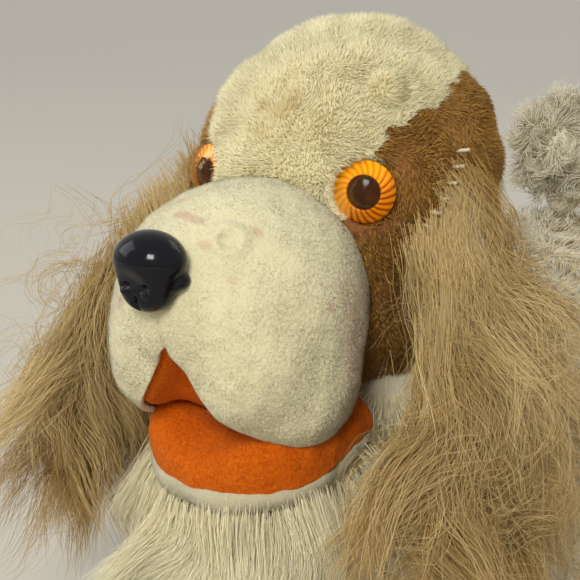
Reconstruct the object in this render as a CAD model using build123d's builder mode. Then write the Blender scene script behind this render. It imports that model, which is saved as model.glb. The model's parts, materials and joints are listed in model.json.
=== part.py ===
"""Plush spaniel hand puppet with a moving mouth.

The puppet faces -Y and its own left side is +X.  The origin is on the ground, under the middle of
the hand sleeve.  Fur counts as part of each soft piece, so soft pieces are drawn at the outer size
of their pile.  All lengths are millimetres.
"""
import os
from math import cos, radians, sin

from build123d import *

os.makedirs("parts", exist_ok=True)

# ---- driving dimensions -------------------------------------------------------------------------
EYE_DIAMETER = 18.0
EYE_X = 28.6
EYE_Y = -84.0
EYE_Z = 166.0
EYE_YAW = 18.0
EYE_PITCH = 5.0
EYE_FLUTES = 24

SKIN = 4.0
CLOTH = 1.5

SKULL_CENTRE = Vector(0, -41, 163)
SKULL_RADIUS = 48.0
JOWL_CENTRE = Vector(0, -44, 136)
JOWL_RADIUS = 40.0
CROWN_HALF_WIDTH = 24.0
CROWN_BACK_Y = -8.0
CROWN_BASE_Z = 130.0

MUZZLE_FRONT_Y = -139.0
MUZZLE_BACK_Y = -56.0
MUZZLE_BASE_Z = 100.0
MUZZLE_TOP_Z = 169.0
MUZZLE_HALF_WIDTH = 35.0
MUZZLE_ROUND = 24.0

NOSE_Z = 151.5
NOSE_SEAT_Y = -134.5
NOSE_WIDTH = 20.0

MOUTH_HINGE_Y = -79.0
MOUTH_HINGE_Z = 100.0
UPPER_PALATE_RISE = 25.0
LOWER_PALATE_DROP = 15.0
MOUTH_HALF_WIDTH = 21.0
MOUTH_FRONT_Y = -131.5
MOUTH_ROUND = 20.0
LIP_NOTCH_TOP_Z = 130.0
BOARD = 2.0

JAW_HALF_WIDTH = 30.0
JAW_LENGTH = 49.0
JAW_BACK_DEPTH = 19.0
JAW_FRONT_DEPTH = 11.0
JAW_GAP = 1.0
JAW_SWEEP_RADIUS = 22.0
THUMB_HALF_WIDTH = 12.5
FELT_BULGE = 5.0

NECK_PIVOT = Vector(0, 8, 98)
NECK_TILT = 30.0
NECK_RADIUS = 44.0
NECK_LAYER = 2.6
NECK_GAP = 0.5
TORSO_SET_BACK = 6.0
RUFF_THICKNESS = 12.0

BODY_HALF_WIDTH = 52.0
BODY_FRONT_Y = -44.0
BODY_BACK_Y = 150.0
BODY_BASE_Z = 5.0
BODY_TOP_Z = 118.0
BODY_ROUND = 22.0
SLEEVE_HALF_WIDTH = 40.0
SLEEVE_BASE_Z = 24.0
SLEEVE_TOP_Z = 96.0
LINING = 2.0
HEM = 6.0

EAR_HINGE = Vector(50, -74, 178)
EAR_SPLAY = 10.0
EAR_HALF_WIDTH = 38.0
EAR_LENGTH = 116.0
EAR_LINING = 3.0
EAR_FUR = 11.0
STITCHES = 5

LEG_X = 68.0
FORELEG_Y = -14.0
HIND_LEG_Y = 118.0
LEG_RADIUS = 14.0
LEG_HEIGHT = 58.0
PAW_RADIUS = 13.0
PAW_REACH = 22.0

TAIL_PIVOT = Vector(0, 126, 129)
TAIL_BASE_RADIUS = 9.6
TAIL_RADIUS = 24.0
TAIL_LENGTH = 47.0

# ---- planes shared by several pieces ------------------------------------------------------------
hinge_point = Vector(0, MOUTH_HINGE_Y, MOUTH_HINGE_Z)
rise = radians(UPPER_PALATE_RISE)
drop = radians(LOWER_PALATE_DROP)
upper_mouth = Plane(origin=hinge_point, x_dir=(1, 0, 0), z_dir=(0, sin(rise), cos(rise)))
lower_mouth = Plane(origin=hinge_point, x_dir=(1, 0, 0), z_dir=(0, -sin(drop), cos(drop)))
jaw_side = Plane(origin=hinge_point, x_dir=(0, -cos(drop), -sin(drop)), z_dir=(-1, 0, 0))
neck_axis = Vector(0, -cos(radians(NECK_TILT)), sin(radians(NECK_TILT)))
torso_face = Plane(origin=NECK_PIVOT - neck_axis * TORSO_SET_BACK, z_dir=neck_axis)


def write(piece, name):
    """Label one finished piece and write it to its own file."""
    piece.label = name
    export_step(piece, f"parts/{name}.step")


def head_form(inset):
    """The round of the skull and the jowls under it."""
    with BuildPart() as form:
        with Locations(SKULL_CENTRE):
            Sphere(SKULL_RADIUS - inset)
        with Locations(JOWL_CENTRE):
            Sphere(JOWL_RADIUS - inset)
    return form.part


def muzzle_form(inset):
    """The deep soft muzzle, with its hanging flews."""
    with BuildPart() as form:
        with BuildSketch(Plane.XY.offset(MUZZLE_BASE_Z + inset)):
            with Locations((0, (MUZZLE_FRONT_Y + MUZZLE_BACK_Y) / 2)):
                Rectangle(2 * (MUZZLE_HALF_WIDTH - inset), MUZZLE_BACK_Y - MUZZLE_FRONT_Y - 2 * inset)
        extrude(amount=MUZZLE_TOP_Z - MUZZLE_BASE_Z - 2 * inset)
        fillet(form.edges(), MUZZLE_ROUND - inset)
    return form.part


def room(x_half, y_front, y_back, z_low, z_high, corner):
    """A straight tunnel along Y with rounded corners, for a hand or a finger."""
    with BuildPart() as tunnel:
        with BuildSketch(Plane.XZ.offset(-y_back)):
            with Locations((0, (z_low + z_high) / 2)):
                RectangleRounded(2 * x_half, z_high - z_low, corner)
        extrude(amount=y_back - y_front)
    return tunnel.part


def slab(x_low, x_high, y_low, y_high, z_low, z_high):
    """A plain block between six faces, used to divide the covers into their panels."""
    with BuildPart() as block:
        with Locations(((x_low + x_high) / 2, (y_low + y_high) / 2, (z_low + z_high) / 2)):
            Box(x_high - x_low, y_high - y_low, z_high - z_low)
    return block.part


def ball(radius, centre):
    """A sphere about a point."""
    with BuildPart() as sphere:
        with Locations(centre):
            Sphere(radius)
    return sphere.part


def mouth_space(inset):
    """The space inside the upper mouth, from the palate down past the flews."""
    half = MOUTH_HALF_WIDTH - inset
    back = MOUTH_HINGE_Y + 2 * inset
    bend = MOUTH_FRONT_Y + MOUTH_ROUND
    with BuildPart() as space:
        with BuildSketch(Plane.XY.offset(MUZZLE_BASE_Z - 10)):
            with BuildLine():
                Line((-half, back), (-half, bend))
                EllipticalCenterArc((0, bend), half, MOUTH_ROUND - inset, start_angle=180, arc_size=180)
                Line((half, bend), (half, back))
                Line((half, back), (-half, back))
            make_face()
        extrude(amount=60)
        split(bisect_by=upper_mouth.offset(-inset), keep=Keep.BOTTOM)
    return space.part


def jaw_outline(half_width, length, start):
    """The rounded plan of the lower jaw, drawn forward from the mouth hinge."""
    front = half_width * 0.95
    with BuildSketch(mode=Mode.PRIVATE) as outline:
        with BuildLine():
            Line((-half_width, -start), (-half_width, front - length))
            EllipticalCenterArc((0, front - length), half_width, front, start_angle=180, arc_size=180)
            Line((half_width, front - length), (half_width, -start))
            Line((half_width, -start), (-half_width, -start))
        make_face()
    return outline.sketch


def eye_plane(side):
    """The seat of one eye, with its Z axis looking out of the head."""
    yaw = radians(EYE_YAW)
    pitch = radians(EYE_PITCH)
    look = Vector(side * sin(yaw) * cos(pitch), -cos(yaw) * cos(pitch), sin(pitch))
    seat = Vector(side * EYE_X, EYE_Y, EYE_Z) - look * 4.0
    return Plane(origin=seat, x_dir=(cos(yaw), side * sin(yaw), 0), z_dir=look)


# ---- hollows that the hand and the fixings go through -------------------------------------------
PALM_FRONT_Y = -64.0
FINGER_FRONT_Y = -116.0
palm_room = room(30, PALM_FRONT_Y, -12, 86, 150, 12)
finger_room = room(26, FINGER_FRONT_Y, PALM_FRONT_Y + 2, 124, 149, 8)
finger_lining_form = room(26 + CLOTH, FINGER_FRONT_Y - CLOTH, PALM_FRONT_Y, 124 - CLOTH, 149 + CLOTH, 9)
thumb_room = room(14, MOUTH_HINGE_Y - 2, PALM_FRONT_Y + 4, 87, 98, 4)
neck_room = ball(NECK_RADIUS + 1.0, NECK_PIVOT)
neck_bed = ball(NECK_RADIUS + 0.6, NECK_PIVOT)
sleeve_room = room(SLEEVE_HALF_WIDTH, -30, BODY_BACK_Y + 20, SLEEVE_BASE_Z, SLEEVE_TOP_Z, 26)

with BuildPart() as lip_notch:
    with BuildSketch(Plane.XZ.offset(-MOUTH_FRONT_Y - 10)):
        with BuildLine():
            Polyline((0, LIP_NOTCH_TOP_Z), (-13, MUZZLE_BASE_Z - 4), (13, MUZZLE_BASE_Z - 4), close=True)
        make_face()
    extrude(amount=30)

with BuildPart() as eye_pockets:
    for side in (1, -1):
        with BuildSketch(eye_plane(side)):
            Circle(EYE_DIAMETER / 2)
        extrude(amount=14)
        with BuildSketch(eye_plane(side)):
            Circle(2.2)
        extrude(amount=-10)
        with BuildSketch(eye_plane(side).offset(-7.2)):
            Circle(6.5)
        extrude(amount=1.2)

with BuildPart() as nose_fixing:
    with BuildSketch(Plane.XZ.offset(-NOSE_SEAT_Y - 7.2)):
        with Locations((0, NOSE_Z)):
            Circle(7.5)
    extrude(amount=1.2)

skull_outer = head_form(0)
skull_inner = head_form(SKIN)
muzzle_outer = muzzle_form(0)
muzzle_inner = muzzle_form(SKIN)
upper_mouth_space = mouth_space(0)

# ---- head: mouth lining and board ---------------------------------------------------------------
with BuildPart() as upper_mouth_board:
    with BuildSketch(upper_mouth):
        add(jaw_outline(MOUTH_HALF_WIDTH - 2, 54, 3))
    extrude(amount=BOARD)
write(upper_mouth_board.part, "upper_mouth_board")

with BuildPart() as upper_palate:
    add(upper_mouth_space)
    add(mouth_space(CLOTH), mode=Mode.SUBTRACT)
    add(slab(-60, 60, -160, 0, 60, MUZZLE_BASE_Z + 1), mode=Mode.SUBTRACT)
    add(lip_notch.part, mode=Mode.SUBTRACT)
    add(slab(-60, 60, MOUTH_HINGE_Y - 1.5, 0, 60, 200), mode=Mode.SUBTRACT)
write(upper_palate.part, "upper_palate")

with BuildPart() as finger_pocket:
    add(finger_lining_form)
    add(finger_room, mode=Mode.SUBTRACT)
write(finger_pocket.part, "finger_pocket")

# ---- nose ---------------------------------------------------------------------------------------
with BuildPart() as nose:
    with Locations((0, NOSE_SEAT_Y - 1.5, NOSE_Z + 2)):
        Sphere(NOSE_WIDTH / 2)
    with Locations((0, NOSE_SEAT_Y - 3.0, NOSE_Z - 5)):
        Sphere(6.6)
    for side in (1, -1):
        with Locations((side * 8.2, NOSE_SEAT_Y - 1.6, NOSE_Z - 4.2)):
            Sphere(2.6)
    split(bisect_by=Plane.XZ.offset(-NOSE_SEAT_Y), keep=Keep.TOP)
    for side in (1, -1):
        with Locations(Location((side * 4.6, NOSE_SEAT_Y - 10.6, NOSE_Z - 3.0), (20, 0, side * 28))):
            Torus(2.6, 0.75, mode=Mode.SUBTRACT)
    with Locations((0, NOSE_SEAT_Y - 10.5, NOSE_Z - 9)):
        Box(0.9, 4.4, 12, mode=Mode.SUBTRACT)
    with BuildSketch(Plane.XZ.offset(-NOSE_SEAT_Y)):
        with Locations((0, NOSE_Z)):
            Circle(2.5)
    extrude(amount=-10)
write(nose.part, "nose")

with BuildPart() as nose_washer:
    with BuildSketch(Plane.XZ.offset(-NOSE_SEAT_Y - 7.2)):
        with Locations((0, NOSE_Z)):
            Circle(7.5)
            Circle(2.5, mode=Mode.SUBTRACT)
    extrude(amount=1.2)
write(nose_washer.part, "nose_washer")

# ---- head: stuffing and covers ------------------------------------------------------------------
with BuildPart() as muzzle_stuffing:
    add(muzzle_inner)
    for cut in (skull_inner, upper_mouth_space, lip_notch.part, upper_mouth_board.part,
                finger_lining_form, eye_pockets.part, nose_fixing.part, nose.part, palm_room):
        add(cut, mode=Mode.SUBTRACT)
write(muzzle_stuffing.part, "muzzle_stuffing")

with BuildPart() as muzzle_cover:
    add(muzzle_outer)
    for cut in (muzzle_inner, skull_outer, upper_mouth_space, lip_notch.part, eye_pockets.part,
                nose.part, finger_lining_form, upper_mouth_board.part):
        add(cut, mode=Mode.SUBTRACT)
write(muzzle_cover.part, "muzzle_cover")

with BuildPart() as head_stuffing:
    add(skull_inner)
    for cut in (palm_room, finger_lining_form, neck_room, upper_mouth_board.part, eye_pockets.part,
                upper_mouth_space):
        add(cut, mode=Mode.SUBTRACT)
write(head_stuffing.part, "head_stuffing")

with BuildPart() as head_skin:
    add(skull_outer)
    for cut in (skull_inner, muzzle_outer, palm_room, finger_lining_form, neck_room, eye_pockets.part):
        add(cut, mode=Mode.SUBTRACT)

head_panels = {
    "crown_panel": slab(-CROWN_HALF_WIDTH, CROWN_HALF_WIDTH, -120, CROWN_BACK_Y, CROWN_BASE_Z, 230),
    "head_back_panel": slab(-CROWN_HALF_WIDTH, CROWN_HALF_WIDTH, CROWN_BACK_Y, 40, 80, 230),
    "cheek_panel_left": slab(CROWN_HALF_WIDTH, 80, -140, 40, 80, 230),
    "cheek_panel_right": slab(-80, -CROWN_HALF_WIDTH, -140, 40, 80, 230),
}
for name, share in head_panels.items():
    with BuildPart() as head_panel:
        add(head_skin.part)
        add(share, mode=Mode.INTERSECT)
    write(Part(head_panel.part.solids().sort_by(SortBy.VOLUME)[-1].wrapped), name)

with BuildPart() as throat_panel:
    add(slab(-34, 34, PALM_FRONT_Y - 3, -10, 80, 112))
    for cut in (skull_outer, muzzle_outer, palm_room, thumb_room, neck_room):
        add(cut, mode=Mode.SUBTRACT)
    with Locations(Location(hinge_point, (0, 90, 0))):
        Cylinder(JAW_SWEEP_RADIUS, 120, mode=Mode.SUBTRACT)
write(throat_panel.part, "throat_panel")

# ---- eyes ---------------------------------------------------------------------------------------
PUPIL_RADIUS = 4.9
PUPIL_SEAT = 1.6
PUPIL_TOP = 4.3
IRIS_RADIUS = 8.2
LENS_TOP = 6.3
for side, hand in ((1, "left"), (-1, "right")):
    with BuildPart() as eye_pupil:
        with BuildSketch(Plane.XZ):
            with BuildLine():
                Polyline((0, PUPIL_TOP), (0, PUPIL_SEAT), (PUPIL_RADIUS, PUPIL_SEAT))
                TangentArc((0, PUPIL_TOP), (PUPIL_RADIUS, PUPIL_SEAT), tangent=(1, 0))
            make_face()
        revolve(axis=Axis.Z)
    pupil_solid = eye_plane(side).location * eye_pupil.part

    with BuildPart() as eye_iris:
        with BuildSketch(Plane.XZ):
            with BuildLine():
                Polyline((0, 0), (IRIS_RADIUS, 0), (IRIS_RADIUS, 0.9), (PUPIL_RADIUS, 2.9),
                         (PUPIL_RADIUS, PUPIL_SEAT), (0, PUPIL_SEAT), close=True)
            make_face()
        revolve(axis=Axis.Z)
        with Locations(Location((0, 0, -5.0))):
            Cylinder(2.2, 10)
        with PolarLocations(IRIS_RADIUS, EYE_FLUTES):
            with Locations(Location((0, 0, 1.25), (0, -60, 0))):
                Cylinder(0.45, 7.4, mode=Mode.SUBTRACT)
    iris_solid = eye_plane(side).location * eye_iris.part

    with BuildPart() as eye_lens:
        with BuildSketch(Plane.XZ):
            with BuildLine():
                Polyline((0, LENS_TOP), (0, 0), (EYE_DIAMETER / 2, 0), (EYE_DIAMETER / 2, 1.1))
                TangentArc((0, LENS_TOP), (EYE_DIAMETER / 2, 1.1), tangent=(1, 0))
            make_face()
        revolve(axis=Axis.Z)
        with BuildSketch(Plane.XZ):
            with BuildLine():
                Polyline((0, PUPIL_TOP), (0, 0), (IRIS_RADIUS, 0), (IRIS_RADIUS, 0.9),
                         (PUPIL_RADIUS, 2.9), (PUPIL_RADIUS, PUPIL_SEAT))
                TangentArc((0, PUPIL_TOP), (PUPIL_RADIUS, PUPIL_SEAT), tangent=(1, 0))
            make_face()
        revolve(axis=Axis.Z, mode=Mode.SUBTRACT)
    lens_solid = eye_plane(side).location * eye_lens.part
    write(pupil_solid, f"eye_pupil_{hand}")
    write(iris_solid, f"eye_iris_{hand}")
    write(lens_solid, f"eye_lens_{hand}")

with BuildPart() as eye_washers:
    for side in (1, -1):
        with BuildSketch(eye_plane(side).offset(-7.2)):
            Circle(6.5)
            Circle(2.2, mode=Mode.SUBTRACT)
        extrude(amount=1.2)
write(eye_washers.part, "eye_washers")

# ---- lower jaw ----------------------------------------------------------------------------------
with BuildPart() as thumb_space:
    with BuildSketch(jaw_side):
        with BuildLine():
            Polyline((-6, -6), (34, -6), (34, -11), (-6, -17.6), close=True)
        make_face()
    extrude(amount=THUMB_HALF_WIDTH, both=True)

with BuildPart() as jaw_body:
    with BuildSketch(jaw_side):
        with BuildLine():
            Polyline((1.5, -JAW_GAP), (JAW_LENGTH, -JAW_GAP), (JAW_LENGTH, -JAW_FRONT_DEPTH),
                     (1.5, -JAW_BACK_DEPTH), close=True)
        make_face()
    extrude(amount=JAW_HALF_WIDTH, both=True)
    with BuildSketch(lower_mouth.offset(-30)):
        add(jaw_outline(JAW_HALF_WIDTH, JAW_LENGTH, 1.5))
    extrude(amount=40, mode=Mode.INTERSECT)

with BuildPart() as lower_palate:
    with BuildSketch(lower_mouth.offset(-JAW_GAP - CLOTH)):
        add(jaw_outline(JAW_HALF_WIDTH - 4, JAW_LENGTH - 4, 1.5))
    extrude(amount=CLOTH)
    with BuildSketch(lower_mouth.offset(-JAW_GAP)):
        add(jaw_outline(JAW_HALF_WIDTH - 10, JAW_LENGTH - 8, 12))
    extrude(amount=FELT_BULGE, taper=30)
write(lower_palate.part, "lower_palate")

with BuildPart() as lower_mouth_board:
    with BuildSketch(lower_mouth.offset(-JAW_GAP - CLOTH - BOARD)):
        add(jaw_outline(JAW_HALF_WIDTH - 5, JAW_LENGTH - 5, 3))
    extrude(amount=BOARD)
write(lower_mouth_board.part, "lower_mouth_board")

with BuildPart() as thumb_pocket:
    with BuildSketch(jaw_side):
        with BuildLine():
            Polyline((1.5, -5), (35, -5), (35, -12), (1.5, -17.4), close=True)
        make_face()
    extrude(amount=THUMB_HALF_WIDTH + 1, both=True)
    add(thumb_space.part, mode=Mode.SUBTRACT)
write(thumb_pocket.part, "thumb_pocket")

with BuildPart() as lower_lip:
    with BuildSketch(lower_mouth.offset(-JAW_GAP - CLOTH - BOARD)):
        add(jaw_outline(JAW_HALF_WIDTH, JAW_LENGTH, 1.5))
    extrude(amount=CLOTH + BOARD)
    add(lower_palate.part, mode=Mode.SUBTRACT)
    add(lower_mouth_board.part, mode=Mode.SUBTRACT)
write(lower_lip.part, "lower_lip")

with BuildPart() as jaw_cover:
    add(jaw_body.part)
    add(lower_lip.part, mode=Mode.SUBTRACT)
    add(lower_palate.part, mode=Mode.SUBTRACT)
    add(lower_mouth_board.part, mode=Mode.SUBTRACT)
    add(thumb_pocket.part, mode=Mode.SUBTRACT)
    add(thumb_space.part, mode=Mode.SUBTRACT)
write(jaw_cover.part, "jaw_cover")

with BuildPart() as chin_beard:
    with BuildSketch(Plane.XY.offset(40)):
        with Locations((0, -107)):
            Ellipse(22, 14)
    with BuildSketch(Plane.XY.offset(84)):
        with Locations((0, -107)):
            Ellipse(20, 13)
    loft()
    split(bisect_by=lower_mouth.offset(-JAW_BACK_DEPTH), keep=Keep.BOTTOM)
    add(jaw_body.part, mode=Mode.SUBTRACT)
write(chin_beard.part, "chin_beard")

# ---- ears ---------------------------------------------------------------------------------------
splay = radians(EAR_SPLAY)
for side, hand in ((1, "left"), (-1, "right")):
    hinge = Vector(side * EAR_HINGE.X, EAR_HINGE.Y, EAR_HINGE.Z)
    ear_plane = Plane(origin=hinge, x_dir=(0, side, 0), z_dir=(side * cos(splay), 0, sin(splay)))
    with BuildPart() as ear_lining:
        with BuildSketch(ear_plane):
            with Locations((0, 2 - EAR_LENGTH / 2)):
                Ellipse(EAR_HALF_WIDTH - 4, EAR_LENGTH / 2 - 4)
        extrude(amount=EAR_LINING)
    write(ear_lining.part, f"ear_lining_{hand}")

    with BuildPart() as ear_fur:
        with BuildSketch(ear_plane.offset(EAR_LINING)):
            with Locations((0, 2 - EAR_LENGTH / 2)):
                Ellipse(EAR_HALF_WIDTH, EAR_LENGTH / 2)
        extrude(amount=EAR_FUR)
        fillet(ear_fur.faces().sort_by(Axis(hinge, ear_plane.z_dir))[-1].edges(), 6)
    write(ear_fur.part, f"ear_fur_{hand}")

    with BuildPart() as ear_stitches:
        for index in range(STITCHES):
            along = index / (STITCHES - 1)
            root = Vector(side * 45, -57 - 19 * along, 176 - 28 * along)
            outward = (root - SKULL_CENTRE).normalized()
            across = outward.cross(Vector(side, 0, 0)).cross(outward)
            thread = Plane(origin=SKULL_CENTRE + outward * (SKULL_RADIUS + 0.5), z_dir=across)
            with BuildSketch(thread):
                Circle(0.45)
            extrude(amount=2.6, both=True)
    write(ear_stitches.part, f"ear_stitches_{hand}")

# ---- neck: two nested bands that let the head turn and nod --------------------------------------
neck_side = Plane(origin=NECK_PIVOT, x_dir=(1, 0, 0), z_dir=Vector(1, 0, 0).cross(neck_axis))
neck_bands = {
    "neck_ruff": (NECK_RADIUS, -22.0, 26.0),
    "neck_tube": (NECK_RADIUS - NECK_LAYER - NECK_GAP, -18.0, 23.0),
}
for name, (radius, back, front) in neck_bands.items():
    with BuildPart() as neck_band:
        with BuildSketch(neck_side):
            Circle(radius)
            Circle(radius - NECK_LAYER, mode=Mode.SUBTRACT)
            with Locations((radius / 2, (front + back) / 2)):
                Rectangle(radius, front - back, mode=Mode.INTERSECT)
        revolve(axis=Axis(NECK_PIVOT, neck_axis))
    write(neck_band.part, name)

# ---- body sleeve --------------------------------------------------------------------------------
with BuildPart() as body_form:
    with BuildSketch(Plane.XZ.offset(-BODY_BACK_Y)):
        with Locations((0, (BODY_BASE_Z + BODY_TOP_Z) / 2)):
            RectangleRounded(2 * BODY_HALF_WIDTH, BODY_TOP_Z - BODY_BASE_Z, BODY_ROUND)
    extrude(amount=BODY_BACK_Y - BODY_FRONT_Y)
    split(bisect_by=torso_face, keep=Keep.BOTTOM)
    add(neck_bed, mode=Mode.SUBTRACT)

with BuildPart() as body_lining:
    add(room(SLEEVE_HALF_WIDTH + LINING, -30, BODY_BACK_Y, SLEEVE_BASE_Z - LINING, SLEEVE_TOP_Z + LINING, 27))
    add(sleeve_room, mode=Mode.SUBTRACT)
    add(neck_bed, mode=Mode.SUBTRACT)
    split(bisect_by=torso_face, keep=Keep.BOTTOM)
write(body_lining.part, "body_lining")

with BuildPart() as body_wall:
    add(body_form.part)
    add(room(SLEEVE_HALF_WIDTH + LINING, -30, BODY_BACK_Y + 5, SLEEVE_BASE_Z - LINING,
             SLEEVE_TOP_Z + LINING, 27), mode=Mode.SUBTRACT)

with BuildPart() as chest_ruff:
    add(body_wall.part)
    split(bisect_by=torso_face.offset(-RUFF_THICKNESS), keep=Keep.TOP)
write(chest_ruff.part, "chest_ruff")

for hand, keep in (("left", Keep.TOP), ("right", Keep.BOTTOM)):
    with BuildPart() as body_side:
        add(body_wall.part)
        split(bisect_by=torso_face.offset(-RUFF_THICKNESS), keep=Keep.BOTTOM)
        split(bisect_by=Plane.YZ, keep=keep)
    write(body_side.part, f"body_side_{hand}")

with BuildPart() as belly_panel:
    with BuildSketch(Plane.XY):
        with Locations((0, 54)):
            RectangleRounded(72, 176, 20)
    extrude(amount=BODY_BASE_Z)
write(belly_panel.part, "belly_panel")

with BuildPart() as hem_band:
    with BuildSketch(Plane.XZ.offset(-BODY_BACK_Y - HEM)):
        with Locations((0, (SLEEVE_BASE_Z + SLEEVE_TOP_Z) / 2)):
            RectangleRounded(2 * SLEEVE_HALF_WIDTH + 8, SLEEVE_TOP_Z - SLEEVE_BASE_Z + 8, 30)
            RectangleRounded(2 * SLEEVE_HALF_WIDTH, SLEEVE_TOP_Z - SLEEVE_BASE_Z, 26, mode=Mode.SUBTRACT)
    extrude(amount=HEM)
write(hem_band.part, "hem_band")


# ---- legs and tail ------------------------------------------------------------------------------
def leg_form(x, y, inset):
    """A limp stuffed leg: an upright roll with a paw that points forward."""
    radius = LEG_RADIUS - inset
    with BuildPart() as leg:
        with BuildSketch(Plane.XY.offset(LEG_RADIUS)):
            with Locations((x, y)):
                Circle(radius)
        extrude(amount=LEG_HEIGHT - 2 * LEG_RADIUS)
        with Locations((x, y, LEG_RADIUS), (x, y, LEG_HEIGHT - LEG_RADIUS)):
            Sphere(radius)
        with BuildSketch(Plane.XZ.offset(-y)):
            with Locations((x, PAW_RADIUS)):
                Circle(PAW_RADIUS - inset)
        extrude(amount=PAW_REACH)
        with Locations((x, y - PAW_REACH, PAW_RADIUS)):
            Sphere(PAW_RADIUS - inset)
    return leg.part


for leg_name, leg_y in (("foreleg", FORELEG_Y), ("hind_leg", HIND_LEG_Y)):
    for side, hand in ((1, "left"), (-1, "right")):
        leg_stuffing = leg_form(side * LEG_X, leg_y, SKIN)
        with BuildPart() as leg_cover:
            add(leg_form(side * LEG_X, leg_y, 0))
            add(leg_stuffing, mode=Mode.SUBTRACT)
        write(leg_stuffing, f"{leg_name}_stuffing_{hand}")
        write(leg_cover.part, f"{leg_name}_cover_{hand}")


def tail_form(inset):
    """A stubby upright tail, round at its root so that it can wag."""
    base = TAIL_BASE_RADIUS - inset
    tip = TAIL_RADIUS - inset
    with BuildPart() as tail:
        with Locations(TAIL_PIVOT):
            Sphere(base)
        with BuildSketch(Plane.XY.offset(TAIL_PIVOT.Z)):
            with Locations((0, TAIL_PIVOT.Y)):
                Circle(base)
        with BuildSketch(Plane.XY.offset(TAIL_PIVOT.Z + TAIL_LENGTH - TAIL_RADIUS)):
            with Locations((0, TAIL_PIVOT.Y)):
                Circle(tip)
        loft()
        with Locations(TAIL_PIVOT + Vector(0, 0, TAIL_LENGTH - TAIL_RADIUS)):
            Sphere(tip)
    return tail.part


tail_stuffing = tail_form(SKIN)
with BuildPart() as tail_cover:
    add(tail_form(0))
    add(tail_stuffing, mode=Mode.SUBTRACT)
write(tail_stuffing, "tail_stuffing")
write(tail_cover.part, "tail_cover")
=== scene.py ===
import json
import math

import bmesh
import bpy
import numpy as np
from numpy.random import default_rng
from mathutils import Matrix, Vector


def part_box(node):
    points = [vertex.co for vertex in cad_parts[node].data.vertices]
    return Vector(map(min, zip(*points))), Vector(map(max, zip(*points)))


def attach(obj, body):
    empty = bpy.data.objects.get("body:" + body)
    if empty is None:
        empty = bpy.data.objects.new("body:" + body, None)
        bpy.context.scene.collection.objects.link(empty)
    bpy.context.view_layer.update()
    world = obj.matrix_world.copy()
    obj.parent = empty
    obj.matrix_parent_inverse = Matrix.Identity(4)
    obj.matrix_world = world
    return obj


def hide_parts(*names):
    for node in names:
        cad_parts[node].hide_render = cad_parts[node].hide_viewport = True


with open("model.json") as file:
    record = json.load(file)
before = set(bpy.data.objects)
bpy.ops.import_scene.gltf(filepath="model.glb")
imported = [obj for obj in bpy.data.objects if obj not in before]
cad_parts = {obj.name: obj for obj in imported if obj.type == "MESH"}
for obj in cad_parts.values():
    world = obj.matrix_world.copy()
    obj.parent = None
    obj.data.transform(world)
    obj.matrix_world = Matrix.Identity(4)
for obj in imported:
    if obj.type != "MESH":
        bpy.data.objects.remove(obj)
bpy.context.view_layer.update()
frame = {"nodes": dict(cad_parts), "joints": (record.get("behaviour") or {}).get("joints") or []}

MM = 0.001
STL_FACES = 190_000      # the most triangles in one strand piece
TIP_WIDTH = 0.3          # of the width at a strand's root
ROOT_DEPTH = 0.8         # how far a strand starts under the skin
WAVES = 7                # summed in the smooth noise
LEVELS = 7        # of subdivision, for the finest skins
rng = default_rng(11)
joint_at = {j["name"]: np.array(j["pos_m"], float) * 1000 for j in frame["joints"]}
NECK, HINGE, TAIL = joint_at["head_nod"], joint_at["mouth"], joint_at["tail_wag"]
HEAD_SHIFT = HINGE - (0.0, -79.0, 100.0)
HANDS = {"left": 1, "right": -1}


def at(x, y, z):
    """A point of the head's layout, in mm, which keeps its place about the mouth hinge."""
    return np.array((x, y, z), float) + HEAD_SHIFT


def extent(node):
    """The low corner, high corner, middle and half size of a CAD node's box, in mm."""
    low, high = (np.array(corner) * 1000 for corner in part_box(node))
    return low, high, (low + high) / 2, (high - low) / 2


def middle(node):
    return extent(node)[2]


# ---- numbers on points
def unit(v):
    return v / np.maximum(np.linalg.norm(v, axis=-1, keepdims=True), 1e-9)


def norm(v):
    return np.linalg.norm(v, axis=-1)


def xyz(x, y, z):
    return np.stack(np.broadcast_arrays(x, y, z), -1)


def circle(count):
    return np.linspace(0, 2 * math.pi, count, endpoint=False)


def mirrored_x(p):
    return xyz(np.abs(p[..., 0]), p[..., 1], p[..., 2])


def ease(value, low, high):
    t = np.clip((value - low) / (high - low), 0, 1)
    return t * t * (3 - 2 * t)


def egg(p, centre, radii):
    """Distance to an ellipsoid, near enough."""
    q = (p - centre) / radii
    k = norm(q)
    return k * (k - 1) / np.maximum(norm(q / radii), 1e-9)


def capsule(p, a, b, radius_a, radius_b):
    a, b = np.asarray(a, float), np.asarray(b, float)
    t = np.clip(((p - a) @ (b - a)) / ((b - a) @ (b - a)), 0, 1)
    return norm(p - a - t[..., None] * (b - a)) - (radius_a + (radius_b - radius_a) * t)


def melt(a, b, k):
    """The smaller of two distances, blended over k mm."""
    h = np.clip(0.5 + 0.5 * (b - a) / k, 0, 1)
    return b + (a - b) * h - k * h * (1 - h)


def carve(a, b, k):
    return -melt(-a, -b, k)


def ripple(p, wavelength, seed):
    """Smooth noise of about unit size."""
    local = default_rng(seed)
    k = unit(local.normal(size=(WAVES, 3))) * (2 * math.pi / wavelength) * local.uniform(0.6, 1.5, (WAVES, 1))
    return np.sin(p @ k.T + local.uniform(0, 2 * math.pi, WAVES)).sum(-1) / math.sqrt(WAVES)


def swirl(p, wavelength, seed):
    return np.stack([ripple(p, wavelength, seed + i) for i in range(3)], -1)


def gradient(field, p):
    moves = np.eye(3) * 0.4
    return unit(np.stack([field(p + m) - field(p - m) for m in moves], -1))


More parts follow.
